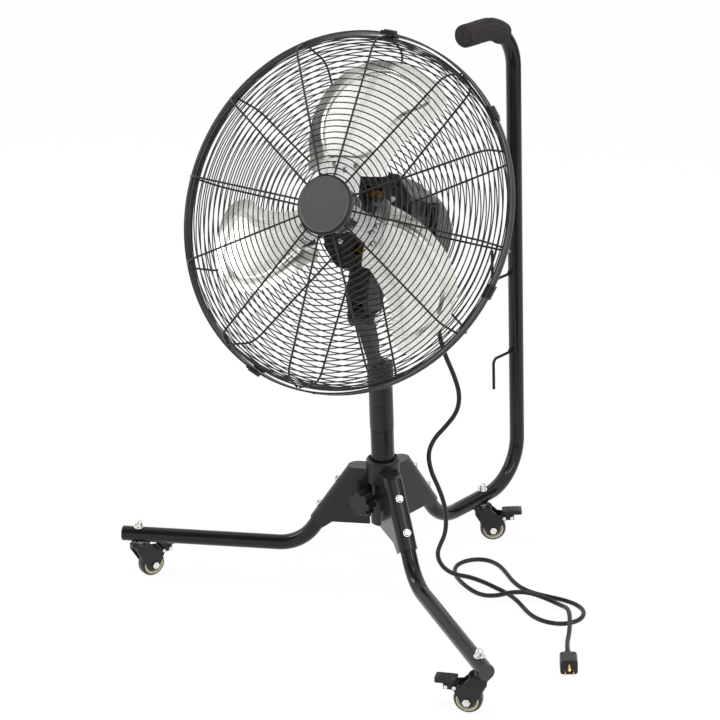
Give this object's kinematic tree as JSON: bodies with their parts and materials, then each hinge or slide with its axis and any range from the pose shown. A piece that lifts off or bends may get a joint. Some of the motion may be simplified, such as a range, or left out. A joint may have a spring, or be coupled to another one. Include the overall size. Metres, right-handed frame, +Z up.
{
  "type": "rolling pedestal fan",
  "caption": "Caged floor fan with a tilting, turning head on a height-adjustable column, carried on a three-legged caster stand with a tall hooked push handle.",
  "frame": {"origin": "on the floor, on the column's axis", "axes": "+Z up along the column, +Y from the column towards the push handle, +X to the right seen from the fan's front"},
  "size_m": [0.8161, 0.6163, 0.9438],
  "materials": {
    "tube_black": "glossy black powder coat",
    "bracket_black": "glossy black powder coat",
    "cast_black": "semi-gloss black paint on a casting",
    "motor_black": "satin black paint",
    "guard_black": "satin black coated wire",
    "rim_grey": "satin dark grey coat",
    "badge_grey": "dark grey moulding",
    "black_plastic": "black nylon",
    "cover_grey": "dark grey moulding",
    "grip_foam": "dark grey foam rubber",
    "cord_rubber": "black vinyl",
    "tyre": "black polyurethane",
    "wheel_core": "cream moulding",
    "zinc": "zinc plated",
    "laminations": "bare laminated steel",
    "copper": "enamelled copper wire",
    "spider_steel": "bare sheet",
    "blade_aluminium": "bare pressed sheet",
    "brass": "bare brass"
  },
  "bodies": {
    "base": {"base_bracket": "bracket_black", "column_collar": "black_plastic", "left_leg": "tube_black", "front_leg": "tube_black", "handle_leg": "tube_black", "handle_upper": "tube_black", "handle_grip": "grip_foam", "leg_bolts": "zinc", "leg_end_caps": "black_plastic", "cord_hooks": "tube_black", "power_cord": "cord_rubber", "plug_body": "cord_rubber", "plug_pins": "brass", "caster_stem_left": "zinc", "caster_stem_front": "zinc", "caster_stem_rear": "zinc"},
    "clamp": {"clamp_knob": "black_plastic"},
    "column": {"column_tube": "tube_black", "column_sleeve": "black_plastic"},
    "neck": {"neck_socket": "cast_black"},
    "head": {"tilt_arm": "cast_black", "tilt_bolt": "zinc", "motor_front_bell": "motor_black", "motor_shell": "motor_black", "motor_stator": "laminations", "motor_windings": "copper", "motor_bearings": "zinc", "rear_cover": "cover_grey", "motor_screws": "zinc", "front_guard": "guard_black", "rear_guard": "guard_black", "guard_rim": "rim_grey", "guard_clips": "guard_black", "front_badge": "badge_grey", "cord_gland": "cord_rubber"},
    "fan": {"motor_rotor": "zinc", "blade_spider": "spider_steel", "blade_1": "blade_aluminium", "blade_2": "blade_aluminium", "blade_3": "blade_aluminium", "blade_rivets": "zinc", "hub_nut": "zinc"},
    "speed": {"speed_knob": "black_plastic"},
    "swivel_left": {"caster_fork_left": "black_plastic", "caster_axle_left": "zinc"},
    "wheel_left": {"caster_tyre_left": "tyre", "caster_rim_left": "wheel_core"},
    "brake_left": {"caster_brake_left": "black_plastic"},
    "swivel_front": {"caster_fork_front": "black_plastic", "caster_axle_front": "zinc"},
    "wheel_front": {"caster_tyre_front": "tyre", "caster_rim_front": "wheel_core"},
    "brake_front": {"caster_brake_front": "black_plastic"},
    "swivel_rear": {"caster_fork_rear": "black_plastic", "caster_axle_rear": "zinc"},
    "wheel_rear": {"caster_tyre_rear": "tyre", "caster_rim_rear": "wheel_core"},
    "brake_rear": {"caster_brake_rear": "black_plastic"}
  },
  "joints": [
    {"name": "clamp_turn", "type": "hinge", "parent": "base", "child": "clamp", "pos_m": [0, -0.044, 0.1815], "axis": [0, -1, 0], "continuous": true},
    {"name": "column_slide", "type": "slide", "parent": "base", "child": "column", "axis": [0, 0, 1], "range_m": [-0.045, 0.06], "deforming": ["power_cord"]},
    {"name": "neck_turn", "type": "hinge", "parent": "column", "child": "neck", "pos_m": [0, 0, 0.3715], "axis": [0, 0, 1], "range_deg": [-60, 60], "deforming": ["power_cord"]},
    {"name": "head_tilt", "type": "hinge", "parent": "neck", "child": "head", "pos_m": [0.00897, -0.0441, 0.5035], "axis": [0.9799, 0.1994, 0], "range_deg": [-20, 26], "deforming": ["power_cord"]},
    {"name": "fan_spin", "type": "hinge", "parent": "head", "child": "fan", "pos_m": [0.0187, -0.0919, 0.68703], "axis": [0.1786, -0.8777, 0.4446], "continuous": true},
    {"name": "speed_turn", "type": "hinge", "parent": "head", "child": "speed", "pos_m": [0.05556, 0.06447, 0.65704], "axis": [0.9799, 0.1994, 0], "range_deg": [0, 270]},
    {"name": "swivel_turn_left", "type": "hinge", "parent": "base", "child": "swivel_left", "pos_m": [-0.36546, -0.211, 0.06], "axis": [0, 0, 1], "continuous": true},
    {"name": "wheel_roll_left", "type": "hinge", "parent": "swivel_left", "child": "wheel_left", "pos_m": [-0.36111, -0.19354, 0.022], "axis": [-0.9703, 0.2419, 0], "continuous": true},
    {"name": "brake_press_left", "type": "hinge", "parent": "swivel_left", "child": "brake_left", "pos_m": [-0.35651, -0.1751, 0.043], "axis": [-0.9703, 0.2419, 0], "range_deg": [0, 14]},
    {"name": "swivel_turn_front", "type": "hinge", "parent": "base", "child": "swivel_front", "pos_m": [0.36546, -0.211, 0.06], "axis": [0, 0, 1], "continuous": true},
    {"name": "wheel_roll_front", "type": "hinge", "parent": "swivel_front", "child": "wheel_front", "pos_m": [0.34942, -0.21917, 0.022], "axis": [0.454, -0.891, 0], "continuous": true},
    {"name": "brake_press_front", "type": "hinge", "parent": "swivel_front", "child": "brake_front", "pos_m": [0.33249, -0.2278, 0.043], "axis": [0.454, -0.891, 0], "range_deg": [0, 14]},
    {"name": "swivel_turn_rear", "type": "hinge", "parent": "base", "child": "swivel_rear", "pos_m": [0, 0.254, 0.06], "axis": [0, 0, 1], "continuous": true},
    {"name": "wheel_roll_rear", "type": "hinge", "parent": "swivel_rear", "child": "wheel_rear", "pos_m": [0.01338, 0.26604, 0.022], "axis": [-0.6691, 0.7431, 0], "continuous": true},
    {"name": "brake_press_rear", "type": "hinge", "parent": "swivel_rear", "child": "brake_rear", "pos_m": [0.0275, 0.27876, 0.043], "axis": [-0.6691, 0.7431, 0], "range_deg": [0, 14]}
  ]
}
